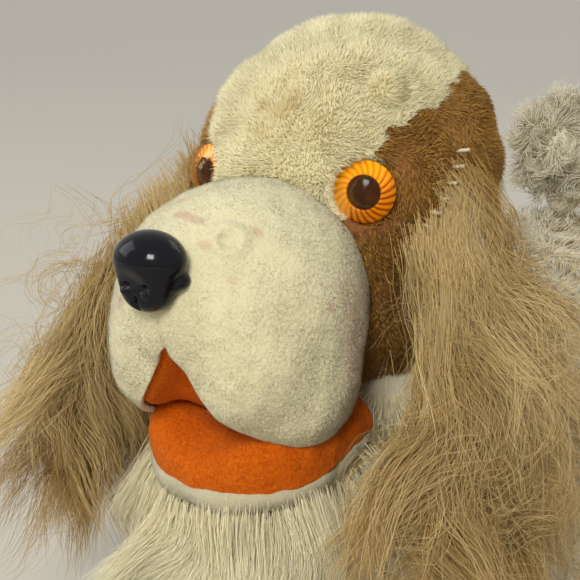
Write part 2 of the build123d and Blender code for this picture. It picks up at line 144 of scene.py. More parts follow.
# ---- meshes
def cast(field, centre, reach, levels):
    """A closed skin on the zero of a field, found along rays from its centre."""
    bm = bmesh.new()
    bmesh.ops.create_icosphere(bm, subdivisions=levels, radius=1.0)
    rays = unit(np.array([v.co for v in bm.verts]))
    faces = np.array([[v.index for v in f.verts] for f in bm.faces])
    bm.free()
    low, high = np.zeros(len(rays)), np.full(len(rays), float(reach))
    for _ in range(26):
        half = (low + high) / 2
        outside = field(centre + rays * half[:, None]) > 0
        high = np.where(outside, half, high)
        low = np.where(outside, low, half)
    return centre + rays * ((low + high) / 2)[:, None], faces


def clip(points, faces, keep):
    """The part of a triangle mesh where keep is not negative, with a clean cut edge."""
    inside = keep[faces] >= 0
    count = inside.sum(1)
    out, extra, made = [tuple(f) for f in faces[count == 3]], [], {}

    def crossing(a, b):
        key = (min(a, b), max(a, b))
        if key not in made:
            t = keep[a] / (keep[a] - keep[b])
            made[key] = len(points) + len(extra)
            extra.append(points[a] + (points[b] - points[a]) * t)
        return made[key]

    cut = (count > 0) & (count < 3)
    for face, flags in zip(faces[cut], inside[cut]):
        ring = []
        for i in range(3):
            a, b = face[i], face[(i + 1) % 3]
            if flags[i]:
                ring.append(a)
            if flags[i] != flags[(i + 1) % 3]:
                ring.append(crossing(a, b))
        out += [(ring[0], ring[i], ring[i + 1]) for i in range(1, len(ring) - 1)]
    everything = np.vstack([points, np.array(extra).reshape(-1, 3)])
    out = np.array(out, int)
    used, renumbered = np.unique(out, return_inverse=True)
    return everything[used], renumbered.reshape(out.shape)


def loft(rings, closed_ends=False):
    """Triangles over a stack of rings that have the same number of points."""
    rings = np.asarray(rings)
    rows, count, _ = rings.shape
    index = np.arange(rows * count).reshape(rows, count)
    a, b = index[:-1], index[1:]
    quads = np.stack([a, np.roll(a, -1, 1), np.roll(b, -1, 1), b], -1).reshape(-1, 4)
    faces = np.vstack([quads[:, [0, 1, 2]], quads[:, [0, 2, 3]]])
    points = rings.reshape(-1, 3)
    if closed_ends:
        for row, order in ((0, (0, 2, 1)), (rows - 1, (0, 1, 2))):
            points = np.vstack([points, rings[row].mean(0)])
            fan = np.stack([np.full(count, len(points) - 1), index[row], np.roll(index[row], -1)], -1)
            faces = np.vstack([faces, fan[:, order]])
    return points, faces


def tube(path, radius, sides):
    """Rings along a line, with its ends drawn in."""
    path = np.asarray(path, float)
    tangent = unit(np.gradient(path, axis=0))
    side = unit(np.cross(tangent, (0.31, 0.52, 0.79)))
    over = np.cross(tangent, side)
    turn = circle(sides)
    size = np.full(len(path), float(radius))
    size[[0, -1]] *= 0.6
    return loft(path[:, None] + size[:, None, None] * (
        np.cos(turn)[None, :, None] * side[:, None] + np.sin(turn)[None, :, None] * over[:, None]), True)


def join(*parts):
    points, faces, start = [], [], 0
    for p, f in parts:
        points.append(p)
        faces.append(f + start)
        start += len(p)
    return np.vstack(points), np.vstack(faces)


def vertex_normals(points, faces):
    corner = points[faces]
    face_normal = np.cross(corner[:, 1] - corner[:, 0], corner[:, 2] - corner[:, 0])
    normals = np.zeros_like(points)
    for i in range(3):
        np.add.at(normals, faces[:, i], face_normal)
    return unit(normals)


def show(obj):
    bpy.context.scene.collection.objects.link(obj)


def smooth(mesh):
    mesh.polygons.foreach_set("use_smooth", np.ones(len(mesh.polygons), bool))


def put(mesh, name, values):
    mesh.attributes.new(name, "FLOAT", "POINT").data.foreach_set("value", values.astype(np.float32))


def add(name, mesh, paint, body):
    smooth(mesh)
    mesh.materials.append(paint.material)
    obj = bpy.data.objects.new(name, mesh)
    show(obj)
    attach(obj, body)
    return obj


def piece(name, shape, material, body, replaces=(), thick=0.0, wear_and_shade=None):
    """One named object from points and faces in mm, riding on a CAD body."""
    points, faces = shape
    mesh = bpy.data.meshes.new(name)
    mesh.from_pydata((points * MM).tolist(), [], faces.tolist())
    # wear_and_shade holds real rubbing and stains, and painted shade on the eyes and the crown's knob
    if wear_and_shade is not None:
        put(mesh, "wear_and_shade", wear_and_shade(points))
    obj = add(name, mesh, material, body)
    if thick:
        wall = obj.modifiers.new("wall", "SOLIDIFY")
        wall.thickness, wall.offset = thick * MM, -1.0
        bpy.context.view_layer.update()
        ready = obj.evaluated_get(bpy.context.evaluated_depsgraph_get())
        obj.data = bpy.data.meshes.new_from_object(ready)
        obj.modifiers.clear()
        smooth(obj.data)
    if replaces:
        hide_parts(*replaces)


# ---- pile and hair, all of it real thin tubes
def scatter(shape, count, seed, density=None):
    """Random points on a mesh with their normals, by area, thinned by density."""
    points, faces = shape
    local = default_rng(seed)
    corner, normal = points[faces], vertex_normals(points, faces)[faces]
    area = norm(np.cross(corner[:, 1] - corner[:, 0], corner[:, 2] - corner[:, 0]))
    if density is not None:
        area = area * density(corner.mean(1))
    pick = local.choice(len(faces), count, p=area / area.sum())
    a, b = np.sqrt(local.random(count)), local.random(count)
    weight = np.stack([1 - a, a * (1 - b), a * b], -1)[..., None]
    return (corner[pick] * weight).sum(1), unit((normal[pick] * weight).sum(1))


def strands(name, paths, radius, material, body, tone, wear_and_shade=None):
    """Tapered three-sided strands along the paths, in pieces of at most STL_FACES triangles."""
    count, rows, _ = paths.shape
    triangles = (rows - 2) * 6 + 4
    share = STL_FACES // triangles
    wear_and_shade = np.zeros(count) if wear_and_shade is None else wear_and_shade
    for start in range(0, count, share):
        chunk = slice(start, start + share)
        label = name if count <= share else f"{name}_{start // share + 1}"
        strand_piece(label, paths[chunk], radius, material, body, tone[chunk], wear_and_shade[chunk])


def strand_piece(name, paths, radius, material, body, tone, wear_and_shade):
    count, rows, _ = paths.shape
    tangent = unit(np.gradient(paths, axis=1))
    side = unit(np.cross(tangent, unit(rng.normal(size=(count, 1, 3)))))
    over = np.cross(tangent, side)
    along = np.linspace(0, 1, rows)
    size = np.full((count, 1), float(radius)) * (1 - (1 - TIP_WIDTH) * along[:-1] ** 1.6)
    turn = np.arange(3) * (2 * math.pi / 3)
    ring = paths[:, :-1, None] + size[..., None, None] * (
        np.cos(turn)[:, None] * side[:, :-1, None] + np.sin(turn)[:, None] * over[:, :-1, None])
    points = np.concatenate([ring.reshape(count, -1, 3), paths[:, -1:]], 1)
    each = points.shape[1]
    k, after = np.arange(3), (np.arange(3) + 1) % 3
    quads = [np.stack([i * 3 + k, i * 3 + after, i * 3 + 3 + after, i * 3 + 3 + k], -1) for i in range(rows - 2)]
    last = (rows - 2) * 3
    tips = np.stack([last + k, last + after, np.full(3, each - 1)], -1)
    loops = np.concatenate([q.ravel() for q in quads] + [tips.ravel(), np.array((2, 1, 0))])
    sizes = np.concatenate([np.full(3 * len(quads), 4), np.full(4, 3)])
    starts = np.concatenate([[0], np.cumsum(sizes)[:-1]])
    offsets = np.arange(count)[:, None]
    corner = (loops + offsets * each).ravel()
    mesh = bpy.data.meshes.new(name)
    mesh.vertices.add(count * each)
    mesh.loops.add(count * len(loops))
    mesh.polygons.add(count * len(sizes))
    mesh.vertices.foreach_set("co", (points * MM).astype(np.float32).ravel())
    mesh.loops.foreach_set("vertex_index", corner.astype(np.int32))
    mesh.polygons.foreach_set("loop_start", (starts + offsets * len(loops)).ravel().astype(np.int32))
    mesh.update(calc_edges=True)
    where = np.concatenate([np.repeat(along[:-1], 3), [1.0]])
    put(mesh, "along", np.tile(where, count))
    put(mesh, "tone", np.repeat(tone, each))
    put(mesh, "wear_and_shade", np.repeat(wear_and_shade, each))
    cells = math.ceil(math.sqrt(count))
    column, row = np.arange(count) % cells, np.arange(count) // cells
    u = np.concatenate([np.tile(np.array((0.2, 0.5, 0.8)), rows - 1), [0.5]])
    uv = np.stack([(column[:, None] + u) / cells, (row[:, None] + 0.1 + 0.8 * where) / cells], -1).reshape(-1, 2)
    mesh.uv_layers.new(name="OFBake").data.foreach_set("uv", uv[corner].astype(np.float32).ravel())
    add(name, mesh, material, body)


def grow(roots, heading, length, rows, fall=0.0, curl=0.0, curl_size=20.0, seed=1, keep_off=None, clear=1.0,
         stray=0.0, skin_way=None):
    """Lines that start just under the skin, sag, curl with their neighbours and stay outside a field."""
    local = default_rng(seed)
    step = (length / (rows - 1))[:, None]
    way = unit(heading)
    line = [roots - way * ROOT_DEPTH]
    own = local.normal(size=roots.shape) * stray
    for i in range(rows - 1):
        way = unit(way + np.array((0, 0, -1.0)) * fall + curl * swirl(line[-1], curl_size, seed) + own)
        own = own * 0.7 + local.normal(size=roots.shape) * stray * 0.5
        if skin_way is not None:
            way = unit(way + skin_way * np.clip(0.12 - (way * skin_way).sum(-1), 0, None)[:, None])
        place = line[-1] + way * step
        if keep_off is not None and i:
            depth = clear - keep_off(place)
            place = place + gradient(keep_off, place) * np.clip(depth, 0, 6)[:, None]
            way = unit(place - line[-1])
        line.append(place)
    return np.stack(line, 1)


def locks(guides, per_lock, spread, gather, frizz, seed):
    """Hair around guide lines: each strand starts beside its guide and runs in to it."""
    local = default_rng(seed)
    count, rows, _ = guides.shape
    t = np.linspace(0, 1, rows)[None, :, None]
    base = np.repeat(guides, per_lock, 0)
    offset = local.normal(size=(len(base), 1, 3)) * spread
    wobble = np.cumsum(local.normal(size=base.shape), 1) * frizz * t
    reach = 1 - 0.25 * local.random((len(base), 1, 1))
    shaped = base[:, :1] + (base - base[:, :1]) * reach
    return shaped + offset * (1 - gather * t ** 0.8) + wobble


# ---- materials
class Paint:
    """A Principled material with its node tree built by short calls."""

    def __init__(self, name, **sockets):
        self.material = bpy.data.materials.new(name)
        self.material.use_nodes = True
        self.tree = self.material.node_tree
        self.shader = self.tree.nodes["Principled BSDF"]
        for key, value in sockets.items():
            self.shader.inputs[key.replace("_", " ")].default_value = value
        self.place = self.tree.nodes.new("ShaderNodeTexCoord").outputs["Object"]

    def node(self, kind, **settings):
        made = self.tree.nodes.new("ShaderNode" + kind)
        for key, value in settings.items():
            setattr(made, key, value)
        return made

    def link(self, source, target):
        if isinstance(source, bpy.types.NodeSocket):
            self.tree.links.new(source, target)
        else:
            target.default_value = source

    def attribute(self, name):
        return self.node("Attribute", attribute_name=name).outputs["Fac"]

    def noise(self, scale, detail=3.0, rough=0.5, stretch=None, warp=0.0):
        made = self.node("TexNoise")
        for key, value in (("Scale", scale), ("Detail", detail), ("Roughness", rough), ("Distortion", warp)):
            made.inputs[key].default_value = value
        place = self.place
        if stretch:
            mapping = self.node("Mapping")
            mapping.inputs["Scale"].default_value = stretch
            self.link(place, mapping.inputs["Vector"])
            place = mapping.outputs["Vector"]
        self.link(place, made.inputs["Vector"])
        return made.outputs["Fac"]

    def ramp(self, factor, *stops):
        made = self.node("ValToRGB")
        bar = made.color_ramp
        while len(bar.elements) < len(stops):
            bar.elements.new(0.5)
        for element, (spot, colour) in zip(bar.elements, stops):
            element.position = spot
            element.color = (*colour, 1)
        self.link(factor, made.inputs["Fac"])
        return made.outputs["Color"]

    def grey(self, factor, *stops):
        return self.ramp(factor, *[(spot, (value, value, value)) for spot, value in stops])

    def mix(self, factor, a, b):
        made = self.node("Mix", data_type="RGBA")
        for value, target in ((factor, made.inputs[0]), (a, made.inputs[6]), (b, made.inputs[7])):
            if isinstance(value, tuple) and len(value) == 3:
                value = (*value, 1)
            self.link(value, target)
        return made.outputs[2]

    def sum(self, a, b, mode="ADD"):
        made = self.node("Math", operation=mode)
        self.link(a, made.inputs[0])
        self.link(b, made.inputs[1])
        return made.outputs[0]

    def colour(self, value):
        self.link(value, self.shader.inputs["Base Color"])
        return self

    def bump(self, height, distance, strength=1.0):
        made = self.node("Bump")
        made.inputs["Strength"].default_value = strength
        made.inputs["Distance"].default_value = distance
        self.link(height, made.inputs["Height"])
        self.link(made.outputs["Normal"], self.shader.inputs["Normal"])
        return self


def pile(name, light, dark, root, wear_and_shade_hue, patch=60, sheen=0.25, root_to=0.7, rough=0.75):
    """Fur: strands differ by tone, are darker at the root, and take a second hue where they are rubbed or stained,
    and where shade is painted on the crown's knob.
    """
    paint = Paint(name, Roughness=rough, Sheen_Weight=sheen, Sheen_Roughness=0.4, Specular_IOR_Level=0.25)
    paint.shader.inputs["Sheen Tint"].default_value = (*light, 1)
    tone = paint.sum(paint.attribute("tone"), paint.sum(paint.noise(patch, 2), 0.5, "SUBTRACT"))
    hue = paint.ramp(tone, (0.05, dark), (0.75, light))
    hue = paint.mix(paint.grey(paint.attribute("along"), (0.0, 1.0), (root_to, 0.0)), hue, root)
    hue = paint.mix(paint.attribute("wear_and_shade"), hue, wear_and_shade_hue)
    return paint.colour(hue)


def skin(name, light, dark, wear_and_shade_hue):
    """The cloth under the fur, with a second hue where it is rubbed or stained, and where shade is painted on the
    crown's knob.
    """
    paint = Paint(name, Roughness=0.9, Sheen_Weight=0.3, Specular_IOR_Level=0.2)
    hue = paint.mix(paint.noise(70, 4), dark, light)
    hue = paint.mix(paint.attribute("wear_and_shade"), hue, wear_and_shade_hue)
    return paint.colour(hue).bump(paint.noise(900, 3), 0.0006)


WORN = (0.52, 0.32, 0.23)
velvet = pile("muzzle_velvet", (0.71, 0.665, 0.47), (0.38, 0.345, 0.20), (0.54, 0.49, 0.31), WORN,
              patch=150, sheen=0.1)
velvet_skin = skin("muzzle_cloth", (0.73, 0.68, 0.45), (0.52, 0.47, 0.28), WORN)
crown_pile = pile("crown_pile", (0.95, 0.89, 0.61), (0.74, 0.66, 0.39), (0.76, 0.67, 0.40), (0.66, 0.50, 0.22),
                  patch=55, sheen=0.15)
crown_skin = skin("crown_cloth", (0.74, 0.66, 0.42), (0.60, 0.52, 0.31), (0.5, 0.4, 0.2))
brown_pile = pile("brown_mohair", (0.56, 0.30, 0.065), (0.17, 0.075, 0.011), (0.15, 0.065, 0.010), (0.3, 0.12, 0.03),
                  patch=70, sheen=0.08)
brown_skin = skin("brown_cloth", (0.26, 0.10, 0.03), (0.16, 0.055, 0.015), (0.2, 0.08, 0.02))
ear_hair = pile("ear_mohair", (0.84, 0.66, 0.34), (0.25, 0.15, 0.035), (0.50, 0.36, 0.15), (0.31, 0.165, 0.028),
                patch=24, root_to=0.5, rough=0.55)
ear_cloth = skin("ear_cloth", (0.40, 0.29, 0.14), (0.27, 0.18, 0.075), (0.4, 0.2, 0.1))
white_hair = pile("white_mohair", (0.97, 0.92, 0.68), (0.84, 0.77, 0.52), (0.86, 0.78, 0.52), (0.7, 0.6, 0.4),
                  patch=30, root_to=0.55, rough=0.55)
body_pile = pile("body_plush", (0.80, 0.75, 0.59), (0.56, 0.50, 0.36), (0.52, 0.46, 0.32), (0.7, 0.6, 0.4), patch=28)
body_skin = skin("body_cloth", (0.66, 0.61, 0.46), (0.54, 0.48, 0.35), (0.5, 0.4, 0.3))

felt = Paint("orange_felt", Roughness=0.9, Sheen_Weight=0.2, Sheen_Roughness=0.5, Specular_IOR_Level=0.12)
felt.shader.inputs["Sheen Tint"].default_value = (1.0, 0.45, 0.1, 1)
fibres = felt.sum(felt.noise(1500, 5, 0.7, warp=1.2), felt.noise(420, 4, 0.6, warp=2.0), "MULTIPLY")
felt_hue = felt.ramp(fibres, (0.12, (0.36, 0.048, 0.0)), (0.28, (0.58, 0.105, 0.001)), (0.45, (0.78, 0.20, 0.006)))
felt.colour(felt.mix(felt.grey(felt.noise(55, 2), (0.4, 0.0), (0.75, 0.35)), felt_hue, (0.50, 0.07, 0.0)))
felt.bump(fibres, 0.0009, 0.9)

rim = Paint("lip_velvet", Roughness=0.85, Sheen_Weight=0.4, Specular_IOR_Level=0.2)
rim.colour(rim.mix(rim.noise(500, 4), (0.45, 0.40, 0.25), (0.60, 0.54, 0.36)))
rim.bump(rim.noise(1600, 4, 0.7), 0.0006)

cloth = Paint("lining_cloth", Roughness=0.85, Specular_IOR_Level=0.2)
warp_wave = cloth.node("TexWave", wave_type="BANDS", bands_direction="X")
weft_wave = cloth.node("TexWave", wave_type="BANDS", bands_direction="Y")
for wave in (warp_wave, weft_wave):
    wave.inputs["Scale"].default_value = 420
    wave.inputs["Distortion"].default_value = 0.6
    cloth.link(cloth.place, wave.inputs["Vector"])
threads = cloth.sum(warp_wave.outputs["Fac"], weft_wave.outputs["Fac"], "MULTIPLY")
cloth.colour(cloth.mix(cloth.noise(45, 3), (0.62, 0.56, 0.45), (0.74, 0.69, 0.58))).bump(threads, 0.0004)

thread = Paint("cream_thread", Roughness=0.6, Specular_IOR_Level=0.3)
thread.colour(thread.mix(thread.noise(900, 2), (0.70, 0.60, 0.42), (0.88, 0.80, 0.62)))
thread.bump(thread.noise(2500, 2, stretch=(1, 1, 4)), 0.0004)

gloss = Paint("nose_gloss", Roughness=0.10, Specular_IOR_Level=0.22)
gloss.colour(gloss.mix(gloss.noise(220, 3), (0.002, 0.002, 0.004), (0.006, 0.006, 0.010)))
gloss.link(gloss.grey(gloss.noise(420, 4), (0.35, 0.07), (0.8, 0.2)), gloss.shader.inputs["Roughness"])
gloss.bump(gloss.noise(160, 2), 0.0002, 0.5)

# ---- head: skull, crown, cheeks
SKULL, BROW, JOWL, NAPE = at(0, -41, 164), at(0, -56, 160), at(0, -50, 134), at(0, -26, 128)
NECK_SEAT = 45.5
KNOT = unit(at(26, -67, 192) - SKULL)


def head_field(p):
    shape = egg(p, SKULL, (44.5, 43.5, 45.5))
    for centre, radii, blend in ((BROW, (41, 33, 37), 12), (JOWL, (38, 36, 36), 12), (NAPE, (38, 32, 36), 6)):
        shape = melt(shape, egg(p, centre, radii), blend)
    c = p - SKULL
    knot = norm(np.cross(c, KNOT)) + 99.0 * ((c @ KNOT) < 0)
    return carve(shape + 0.5 * ripple(p, 34, 5) - 3.6 * np.exp(-(knot / 4.6) ** 4), socket(p), 0.6)


def disc_axis(node):
    """The way a flat round CAD node faces: its thinnest direction, towards the front."""
    co = np.array([v.co for v in frame["nodes"][node].data.vertices], float)
    axis = np.linalg.svd(co - co.mean(0), full_matrices=False)[2][2]
    return axis * -np.sign(axis[1])


LENSES = [(middle(f"eye_iris_{hand}"), disc_axis(f"eye_iris_{hand}")) for hand in HANDS]


def socket(p):
    """Positive in front of an eye's back face: nothing of the head may stand there."""
    found = []
    for seat, look in LENSES:
        c = p - seat
        along = (c * look).sum(-1)
        ring = 9.4 + 0.1 * along - norm(c - along[..., None] * look)
        found.append(np.minimum(ring, np.minimum(along + 1.2, 6.5 - along)))
    return np.maximum(*found)


def neck_gap(p):
    return NECK_SEAT - norm(p - NECK)


def head_closed(p):
    return carve(head_field(p), neck_gap(p), 3)


MUZZLE, FLEW, CORNER = at(0, -99.5, 140), at(14.5, -103, 123.5), at(23, -101, 113.5)


def muzzle_field(p):
    mirrored = mirrored_x(p)
    side = melt(egg(mirrored, FLEW, (20.0, 30, 25.5)), egg(mirrored, CORNER, (12.0, 16, 16.0)), 5)
    other = melt(egg(mirrored * (-1, 1, 1), FLEW, (20.0, 30, 25.5)), side, 10)
    shape = melt(egg(p, MUZZLE, (32.5, 38.5, 29)), other, 9)
    whorl = norm(p - at(13.5, -124, 158))
    shape = shape - 1.3 * np.exp(-((whorl - 4.0) / 1.7) ** 2) + 0.4 * ripple(p, 26, 21) + 0.12 * ripple(p, 7, 22)
    groove = np.exp(-(p[..., 0] / 1.3) ** 2) * ease(-p[..., 1], 120, 132)
    shape = shape + 0.9 * groove * ease(-p[..., 2], -150, -140)
    return carve(shape, socket(p), 0.6)


CROWN_Y, CROWN_HALF = (-95, -79, -73, -66, -58, -45, -20, 4), (27, 28.5, 29.5, 33.5, 36, 34.5, 26, 17)


def crown_keep(p):
    half = np.interp(p[:, 1] - HEAD_SHIFT[1], CROWN_Y, CROWN_HALF)
    return half + 0.8 * ripple(p, 9, 3) - np.abs(p[:, 0])


def back_side(p):
    """Positive on the back of the head, where the crown ends."""
    return p[:, 1] - SKULL[1] - 34 - 0.5 * (p[:, 2] - SKULL[2] - 28)


# real staining on the brow, and painted shade over the crown's knob
def stain_and_knob_shade(p):
    brow = np.exp(-((p[:, 0] - 2) / 13) ** 2 - ((p[:, 2] - SKULL[2] - 22) / 9) ** 2) * (p[:, 1] < SKULL[1])
    # painted shade: the crown's knob is darkened all over
    knot = np.exp(-(norm(np.cross(p - SKULL, KNOT)) / 5) ** 4) * ((p - SKULL) @ KNOT > 0)
    return np.clip(0.6 * brow * (0.6 + 0.4 * ripple(p, 7, 9)) + 0.22 * knot, 0, 0.8)


head_middle = at(0, -42, 156)
head_shape = cast(head_closed, head_middle, 70, LEVELS)
head_shape = clip(*head_shape, muzzle_field(head_shape[0]) + 1.5)
back_shape = clip(*head_shape, back_side(head_shape[0]))
front = clip(*head_shape, -back_side(head_shape[0]))
in_crown = np.minimum(crown_keep(front[0]), front[0][:, 2] - SKULL[2] + 6)
crown_shape = clip(*front, in_crown)
cheeks = clip(*front, -in_crown)
cheek_shape = {hand: clip(*cheeks, side * cheeks[0][:, 0]) for hand, side in HANDS.items()}

pad = cast(lambda p: head_closed(p) + 3.2, head_middle, 70, 5)
piece("head_pad", pad, body_skin, "head", ("head_stuffing", "finger_pocket", "eye_washers"))
piece("crown_skin", crown_shape, crown_skin, "head", ("crown_panel",), thick=2.5, wear_and_shade=stain_and_knob_shade)
piece("head_back_skin", back_shape, crown_skin, "head", ("head_back_panel",), thick=2.5)
for hand, shape in cheek_shape.items():
    piece(f"cheek_skin_{hand}", shape, brown_skin, "head", (f"cheek_panel_{hand}",), thick=2.5)


def pile_on(name, shape, count, length, lean, material, body, seed, radius=0.14, rows=2, wear_and_shade=None,
            curl=0.25, curl_size=18, stray=0.25, density=None, fall=0.0):
    """Short pile over a skin, leaning the way it was combed."""
    count = int(count * (1))
    roots, normals = scatter(shape, count, seed, density)
    local = default_rng(seed + 1)
    comb = lean(roots, normals) if callable(lean) else np.asarray(lean, float)
    comb = comb - normals * (comb * normals).sum(-1, keepdims=True)
    heading = normals + comb + curl * swirl(roots, curl_size, seed) + local.normal(size=roots.shape) * stray
    heading = heading + normals * np.clip(0.55 - (heading * normals).sum(-1), 0, None)[:, None]
    sizes = length * local.uniform(0.7, 1.15, count)
    paths = grow(roots, heading, sizes, rows, fall=fall, curl=curl * (rows > 2), curl_size=curl_size, seed=seed,
                 stray=stray * 0.3 * (rows > 2), skin_way=normals)
    tone = np.clip(local.normal(0.5, 0.22, count), 0, 1)
    strands(name, paths, radius, material, body, tone, None if wear_and_shade is None else wear_and_shade(roots))


EYES = [middle(f"eye_lens_{hand}") for hand in HANDS]


def eye_clear(p):
    """No pile where it would stand over an eye."""
    near = np.minimum(*(norm(p - eye) for eye in EYES))
    return ease(near, 8.6, 10.5)


def crown_comb(p, n):
    """Pile on the crown runs back from the brow and a little out to the sides."""
    return xyz(0.25 * np.sign(p[:, 0]) * (np.abs(p[:, 0]) > 6), 0.75, -0.1)


pile_on("crown_fur", crown_shape, 52000, 3.7, crown_comb, crown_pile, "head", 31, radius=0.13, rows=3,
        wear_and_shade=stain_and_knob_shade, curl=0.16, curl_size=14, density=eye_clear)
pile_on("head_back_fur", back_shape, 11500, 6.0, (0, 0.2, -0.8), crown_pile, "head", 32, rows=3,
        curl=0.5)
for hand, side in HANDS.items():
    pile_on(f"cheek_fur_{hand}", cheek_shape[hand], 27000, 3.6, (0.1 * side, 0.75, -0.85), brown_pile, "head",
            33 + side, radius=0.15, rows=3, curl=0.25, density=eye_clear)

# ---- muzzle, mouth and nose
LIP_X, LIP_Z = (0, 3, 8, 14, 22, 25, 29), (130, 126, 118, 110, 101, 99.4, 90)


def lip_height(x):
    return np.interp(np.abs(x), LIP_X, LIP_Z) + HEAD_SHIFT[2]


def muzzle_wear(p):
    """Rubbed, pinker cloth: along the seam at the eyes, at the lip edge and in a few spots."""
    seam = ease(p[:, 1], MUZZLE[1] + 4, MUZZLE[1] + 22) * ease(ripple(p, 11, 61), -0.4, 1.6)
    edge = ease(-(p[:, 2] - lip_height(p[:, 0])), -1.6, 0.4) * (np.abs(p[:, 0]) < 27)
    spots = ease(ripple(p, 8, 62) + 0.35 * ripple(p, 30, 63), 1.15, 1.9)
    side = ease(np.abs(p[:, 0]), 31, 35) * ease(p[:, 1], MUZZLE[1] - 6, MUZZLE[1] + 2)
    return np.clip(0.6 * seam + 0.35 * edge + 0.6 * spots + 0.5 * side, 0, 0.8)


muzzle_whole = cast(muzzle_field, at(0, -98, 137), 60, LEVELS)
muzzle_x, _, muzzle_z = muzzle_whole[0].T
above_lip = np.where(np.abs(muzzle_x) < LIP_X[-1], muzzle_z - lip_height(muzzle_x), 5.0)
muzzle_shape = clip(*muzzle_whole, above_lip)
muzzle_shape = clip(*muzzle_shape, head_field(muzzle_shape[0]) + 3.0)
piece("muzzle_skin", muzzle_shape, velvet_skin, "head", ("muzzle_cover",), thick=1.8, wear_and_shade=muzzle_wear)
pile_on("muzzle_fur", muzzle_shape, 100000, 1.3, (0, 0.35, -0.3), velvet, "head", 41, radius=0.12,
        wear_and_shade=muzzle_wear, curl=0.3, curl_size=14, stray=0.3, density=eye_clear)


FOLD, FOLD_RISE = at(0, -107, 100.0), 0.026


def under_mouth(p):
    """Height of the upper felt's lower side: a roll below the lip edge that runs down and back to the fold."""
    fold = FOLD[2] + FOLD_RISE * np.clip(np.abs(p[..., 0]), 0, 19) ** 2
    roll = np.maximum(lip_height(p[..., 0]) - 2.6, fold)
    ahead = ease(-p[..., 1], -FOLD[1] - 3, -FOLD[1] + 17)
    return fold + (roll - fold) * ahead


def upper_felt_field(p):
    return carve(muzzle_field(p) + 2.3, under_mouth(p) - p[..., 2], 2.5)


felt_pad = cast(upper_felt_field, at(0, -98, 132), 60, 6)
piece("upper_felt", felt_pad, felt, "head", ("upper_palate", "upper_mouth_board", "muzzle_stuffing"))

# the felt is one sheet, so its fold closes the back of the mouth
fold_at = FOLD + (0, 17.0, -3.0)
fold_shape = cast(lambda p: egg(p, fold_at, (26.5, 5, 10)) + 0.2 * ripple(p, 8, 74), fold_at, 30, 5)
piece("felt_fold", fold_shape, felt, "head", ())

# ---- nose
def nose_field(p):
    c = p - NOSE
    mirrored = mirrored_x(c)
    shape = melt(egg(c, (0, -2.0, 2.4), (10.2, 8.6, 7.8)), egg(c, (0, -2.6, -4.4), (7.6, 7.0, 6.6)), 3.5)
    shape = melt(shape, egg(mirrored, (7.6, 0.4, -2.4), (2.5, 3.0, 2.4)), 1.6)
    shape = carve(shape, -egg(c, (-0.6, -12.6, -3.4), (6.0, 4.4, 4.0)), 3.0)
    shape = carve(shape, -egg(mirrored, (3.2, -9.6, -3.6), (1.9, 2.4, 1.4)), 0.8)
    shape = melt(shape, egg(mirrored, (3.6, -7.2, -4.9), (1.7, 1.7, 1.1)), 0.8)
    cleft = np.hypot(c[..., 0], 0.5 * np.clip(c[..., 1] + 8.2, 0, None))
    shape = carve(shape, 0.9 - cleft - 2.0 * ease(c[..., 2], -6.5, -4.5), 0.8)
    return carve(shape, c[..., 1] - 3.4, 0.6)


NOSE = middle("nose") * (1, 0, 1) + at(0, -137, 0) * (0, 1, 0)
piece("nose_moulding", cast(nose_field, NOSE + (0, -2, 0), 20, 6), gloss, "head",
      ("nose", "nose_washer"))

# ---- eyes
amber = Paint("eye_amber", Roughness=0.22, Specular_IOR_Level=0.18)
# painted light and shade: the amber runs from a painted lit yellow to a painted shaded deep brown
lit_and_shaded_amber = amber.ramp(amber.attribute("wear_and_shade"), (0.0, (1.0, 0.64, 0.008)), (0.5, (0.80, 0.34, 0.001)),
                  (1.0, (0.20, 0.050, 0.001)))
amber.colour(amber.mix(amber.grey(amber.noise(300, 3), (0.35, 0.0), (0.7, 0.15)), lit_and_shaded_amber, (0.70, 0.28, 0.001)))
bead = Paint("eye_bead", Roughness=0.1, Specular_IOR_Level=0.35)
bead = bead.colour(bead.ramp(bead.noise(260, 2), (0.3, (0.045, 0.015, 0.008)), (0.75, (0.12, 0.045, 0.022))))

dome = bpy.data.materials.new("eye_dome")
dome.use_nodes = True
dome_tree = dome.node_tree
dome_tree.nodes.clear()
see, shine, edge, softer, both, end = (dome_tree.nodes.new("ShaderNode" + kind) for kind in (
    "BsdfTransparent", "BsdfGlossy", "Fresnel", "Math", "MixShader", "OutputMaterial"))
see.inputs["Color"].default_value = (1.0, 0.90, 0.72, 1)
shine.inputs["Roughness"].default_value = 0.03
edge.inputs["IOR"].default_value = 1.45
softer.operation = "MULTIPLY"
softer.inputs[1].default_value = 0.25
for source, target in ((edge, softer.inputs[0]), (softer, both.inputs[0]), (see, both.inputs[1]),
                       (shine, both.inputs[2]), (both, end.inputs["Surface"])):
    dome_tree.links.new(source.outputs[0], target)

FLUTES, IRIS_OUT, IRIS_IN, PUPIL_STANDS = 23, 8.8, 4.5, 2.95


def repaint(node, material):
    mesh = frame["nodes"][node].data
    mesh.materials.clear()
    mesh.materials.append(material)
    smooth(mesh)


